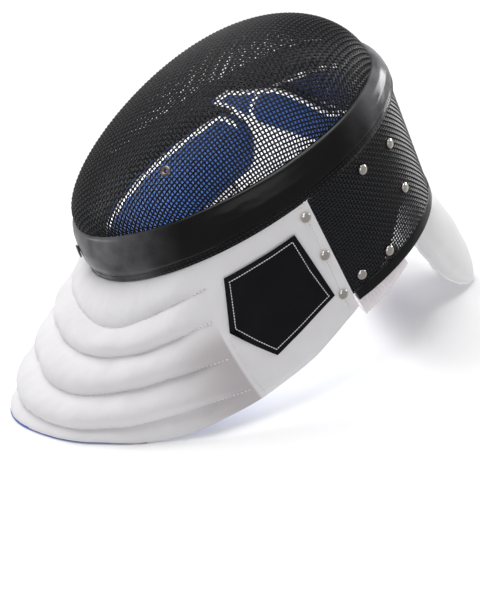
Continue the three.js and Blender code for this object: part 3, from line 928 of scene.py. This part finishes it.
def rivetModel():
    bpy.ops.object.select_all(action="DESELECT")
    bpy.ops.mesh.primitive_uv_sphere_add(segments=28, ring_count=18, radius=1)
    piece = bpy.context.object

    def cut():
        bpy.ops.mesh.bisect(plane_co=(0, 0, 0), plane_no=(0, 0, 1), clear_inner=True, use_fill=True)

    editPiece(piece, cut)
    for vertex in piece.data.vertices:
        skirt = rivet["skirt"] if vertex.co.z > 1e-4 else 0.0
        rise = skirt + (rivet["rise"] - rivet["skirt"]) * vertex.co.z
        vertex.co = Vector((vertex.co.x * rivet["radius"], vertex.co.y * rivet["radius"], rise)) / 1000
    return piece


eyeletSizes = dict(chin_eyelet=(5.2, 2.4, 1.6), mesh_eyelet=(4.0, 1.4, 1.4))   # outer, inner, rise


def eyeletModel(outer, inner, rise):
    bpy.ops.object.select_all(action="DESELECT")
    major, minor = (outer + inner) / 2000, (outer - inner) / 2000
    sizes = dict(major_radius=major, minor_radius=minor)
    bpy.ops.mesh.primitive_torus_add(**sizes, major_segments=32, minor_segments=12)
    piece = bpy.context.object
    for vertex in piece.data.vertices:
        vertex.co.z = (vertex.co.z / minor + 0.7) * rise / 2000
    return piece


def seatCopy(model, name, node, metal):
    place, axis = nodePlace(node)
    piece = model.copy()
    piece.data = model.data.copy()
    piece.name = name
    bpy.context.scene.collection.objects.link(piece)
    piece.data.transform(Matrix.Translation(place) @ axis.to_track_quat("Z", "Y").to_matrix().to_4x4())
    finishPiece(piece, metal, [node], 50)


def makeFasteners():
    model = rivetModel()
    for node in sorted(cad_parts):
        if "_rivet_" in node:
            seatCopy(model, node.replace("_rivet_", "_stud_"), node, "nickel")
    rings = {node: eyeletModel(*size) for node, size in eyeletSizes.items()}
    for node, ring in rings.items():
        seatCopy(ring, node.replace("eyelet", "ring"), node, "eyeletMetal")
    for spare in (model, *rings.values()):
        bpy.data.objects.remove(spare)


makeFasteners()
print("rivets and eyelets set")


# Pads: crowned foam forms against the shell, with white piping
padRows = [
    dict(name="cheek", start=-76.0, ends=(14.0, 12.5), depth=13.0, quilts=(0.33, 0.66), split=None),
    dict(name="forehead", start=6.0, ends=(88.5, 88.5), depth=12.0, quilts=(), split=(0.2, 0.1)),
]
# Piping: shares along and across the pad
padRows[0].update(piping=[(0.03, 0.6), (0.03, 0.04), (0.97, 0.04), (0.97, 0.3)])
padRows[1].update(piping=[(0.03, 0.04), (0.97, 0.04), (0.97, 0.96), (0.03, 0.96), (0.03, 0.04)])
padRows[0].update(front=((-76, 15), (7, 7)), back=((-76, 15), (-55, -55)))   # angles, then z
padRows[1].update(
    front=((6, 14, 22, 32, 40, 48, 88.5), (23, 21, 10, -2, -20, -36, -36)),
    back=((6, 11, 14, 18, 32, 46, 88.5), (13, 6, -11, -26, -52, -68, -68)),
)
# Gap to the shell, corners rounded off, depth share at the rim, the crown's power, and the seams' depth
padForm = dict(inset=5.9, round=0.55, rim=0.12, crown=0.45, quilt=2.2, split=6.0)
pipingSizes = dict(piping=(2.2, 0.6), seam=(1.7, -3.0))   # radius, and how far off the cushion


def shellAtZ(angle, z, inset):
    t = np.where(z < 0, -z / shell["sideDepth"], -z / shell["trimWidth"])
    return shellPoint(angle, t, inset)


def makePad(row, sideName, sign):
    def place(u, v, thick):
        s, t = u * 2 - 1, v * 2 - 1
        u = 0.5 + 0.5 * s * np.sqrt(1 - padForm["round"] * t**2 / 2)
        v = 0.5 + 0.5 * t * np.sqrt(1 - padForm["round"] * s**2 / 2)
        degrees = blend(row["start"], blend(*row["ends"], v), u)
        front, back = (np.interp(degrees, *row[k]) for k in ("front", "back"))
        point = shellAtZ(np.radians(degrees), blend(front, back, v), padForm["inset"] + thick)
        point[..., 0] *= sign
        return point

    def full(u, v):
        ends = np.sin(math.pi * np.clip(u, 0, 1)) ** padForm["crown"]
        return ends * np.sin(math.pi * np.clip(v, 0, 1)) ** padForm["crown"]

    def swell(u, v):
        return row["depth"] * blend(padForm["rim"], 1, full(u, v))

    def shape(u, v):
        inner, across = foldAcross(v)
        dimple = 0.7 * ripple(u * 16, across * 6, 81)
        for quilt in row["quilts"]:
            dimple = dimple - padForm["quilt"] * np.exp(-(((across - quilt) / 0.035) ** 2))
        if row["split"]:
            middle = blend(*row["split"], across)
            dimple = dimple - padForm["split"] * np.exp(-(((u - middle) / 0.03) ** 2))
        thick = np.where(inner, swell(u, across) + dimple * full(u, across), 0.0)
        return place(u, across, thick)

    piece = sectionPiece(f"{row['name']}_cushion_{sideName}", 60, 48, shape)
    finishPiece(piece, "padCloth", [f"{row['name']}_pad_{sideName}"], 60)

    def addPiping(kind, u, v, loop=False):
        radius, lift = pipingSizes[kind]
        line = place(u, v, swell(u, v) + lift)
        facing = unit(line * np.array((-1, -1, 0)))
        piping = strandPiece(f"{row['name']}_{kind}_{sideName}", [(line, facing)], radius, 8, loop)
        finishPiece(piping, "pipingWhite")

    corners = row["piping"]
    addPiping("piping", *walkCorners(corners, -1), corners[0] == corners[-1])
    if row["split"]:
        v = np.linspace(0.05, 0.95, 50)
        addPiping("seam", blend(*row["split"], v), v)


# Side panels behind the mesh: dark outside, white cotton inside, cut back towards the crown
sidePanel = dict(start=-3.0, end=62.0, front=-4.0, inset=4.35, wall=0.45)
sidePanel.update(flat=(0.105, 0.09), area=0.0092)
panelBack = dict(angles=(-3, 14, 24, 32, 49, 62), z=(-91, -91, -88, -79, -57, -36))


def makePanel(sideName, sign):
    def shape(u, v):
        inner, across = foldAcross(v)
        degrees = blend(sidePanel["start"], sidePanel["end"], u)
        back = np.interp(degrees, panelBack["angles"], panelBack["z"])
        z = blend(sidePanel["front"], back, across)
        slack = 0.12 * ripple(u * 20, across * 8, 77)
        thick = np.where(inner, sidePanel["wall"], 0.0) + slack
        point = shellAtZ(np.radians(degrees), z, sidePanel["inset"] + thick)
        point[..., 0] *= sign
        return point

    piece = sectionPiece(f"side_panel_{sideName}", 60, 60, shape)
    finishPiece(piece, "panelNavy", smoothAngle=60)
    piece.data.materials.append(paints["pipingWhite"])
    middle = rowPoint((0.0, 0.0, -40.0))
    turn = math.radians(maskFrame["pitch"])
    for face in piece.data.polygons:
        inwards = np.dot(face.normal, middle - np.array(face.center)) > 0
        y, z = face.center[1] * 1000 - maskFrame["shiftY"], face.center[2] * 1000 - maskFrame["shiftZ"]
        y, z = y * math.cos(turn) + z * math.sin(turn), z * math.cos(turn) - y * math.sin(turn)
        degrees = math.degrees(math.asin(np.clip(y / trimOval["crown"], -1, 1)))
        face.material_index = int(inwards and z < np.interp(degrees, *padRows[1]["front"]) - 8)


for sideName, sideSign in twoSides:
    makePanel(sideName, sideSign)
for padRow in padRows:
    for sideName, sideSign in twoSides:
        makePad(padRow, sideName, sideSign)
print("pads filled")


# Tongue: a padded leaf on a bright spring under the crown
springLeaf = dict(halfWidth=13.0, start=0.72, endZ=-101.0, inset=5.7, wall=1.2)
tongueRows = [   # z, y, wall
    (-101.4, 111, 4), (-114, 113, 7), (-140, 114.5, 8), (-165, 113.5, 8),
    (-181, 111, 7), (-189, 109, 5), (-193.25, 108, 2.5),
]
tongueArch = dict(droop=34.0, halfWidth=36.0)   # how far its sides hang, at this half width
tongueLeaf = dict(z=(193.25, 191, 186, 177, 165, 148, 126, 112, 101.4))
tongueLeaf.update(half=(3, 12, 20, 27, 32, 35, 36, 33, 26))


def makeTongue():
    def springShape(u, v):
        turn = v * 2 * math.pi
        side = signedPower(np.cos(turn), 0.3)
        thick = 0.5 * springLeaf["wall"] * (1 + signedPower(np.sin(turn), 0.3))
        t = blend(springLeaf["start"], -springLeaf["endZ"] / shell["sideDepth"], u)
        angle = math.pi / 2 + side * math.asin(springLeaf["halfWidth"] / rearOval["side"])
        return shellPoint(angle, t, springLeaf["inset"] + thick)

    leaf = sectionPiece("spring_leaf", 16, 40, springShape)
    finishPiece(leaf, "springSteel", ["tongue_spring"], 40)
    rows = np.array(tongueRows, float)

    def tongueShape(u, v):
        turn = v * 2 * math.pi
        z = blend(rows[0, 0], rows[-1, 0], np.sin(u * math.pi / 2))
        y, thick = (np.interp(-z, -rows[:, 0], rows[:, k]) for k in (1, 2))
        half = np.interp(z, -np.array(tongueLeaf["z"]), tongueLeaf["half"])
        side = np.cos(turn)
        seam = 1 - 0.35 * np.exp(-(((np.abs(side) - 0.84) / 0.05) ** 2))
        face = 0.5 * thick * signedPower(np.sin(turn), 0.6) * seam
        hang = tongueArch["droop"] * (side * half / tongueArch["halfWidth"]) ** 2
        return np.stack([side * half, y - hang + face + 0.3 * ripple(u * 9, side * 4, 91), z], -1)

    tongue = sectionPiece("tongue_pad", 64, 64, tongueShape)
    finishPiece(tongue, "tongueVinyl", ["tongue_cover"], 60)
    u = np.linspace(0.06, 0.995, 80)
    edge = tongueShape(np.concatenate([u, u[::-1]]), np.concatenate([np.zeros(80), np.full(80, 0.5)]))
    welt = strandPiece("tongue_welt", [(edge, np.tile((0.0, 1.0, 0.0), (160, 1)))], 1.0, 8)
    finishPiece(welt, "pipingWhite")


# Back strap: wide ribbed elastic across the opening
backStrap = dict(lowY=17.0, highY=64.0, endZ=-84.0, sag=37.0, bow=0.45, tilt=8.0)
backStrap.update(inset=5.1, wall=1.8, ribs=15, ribRise=0.16, flat=(0.048, 0.235), area=0.0112)


def makeStrap():
    def shape(u, v):
        outer, share = foldAcross(v)
        inset = np.where(outer, backStrap["inset"], backStrap["inset"] + backStrap["wall"])
        rib = backStrap["ribRise"] * np.sin(share * math.pi * 2 * backStrap["ribs"])
        inset = inset + np.where(outer, -rib, rib)
        y = blend(backStrap["lowY"], backStrap["highY"], share)
        bend = (u * 2 - 1) * math.pi / 2
        half = rearOval["crown"] - inset
        x = (rearOval["side"] - inset) * np.sqrt(1 - (y / half) ** 2)
        x = x * (1 + shell["egg"] * y / shell["span"])
        depth = backStrap["sag"] + backStrap["inset"] - inset
        lean = backStrap["tilt"] * (1 - share)
        z = backStrap["endZ"] - lean - depth * np.clip(np.cos(bend), 0, 1) ** backStrap["bow"]
        return np.stack([x * np.sin(bend), y, z], -1)

    piece = sectionPiece("strap_band", 90, 150, shape)
    finishPiece(piece, "strapElastic", ["back_strap"], 60)


makeTongue()
makeStrap()
print("tongue and strap fitted")
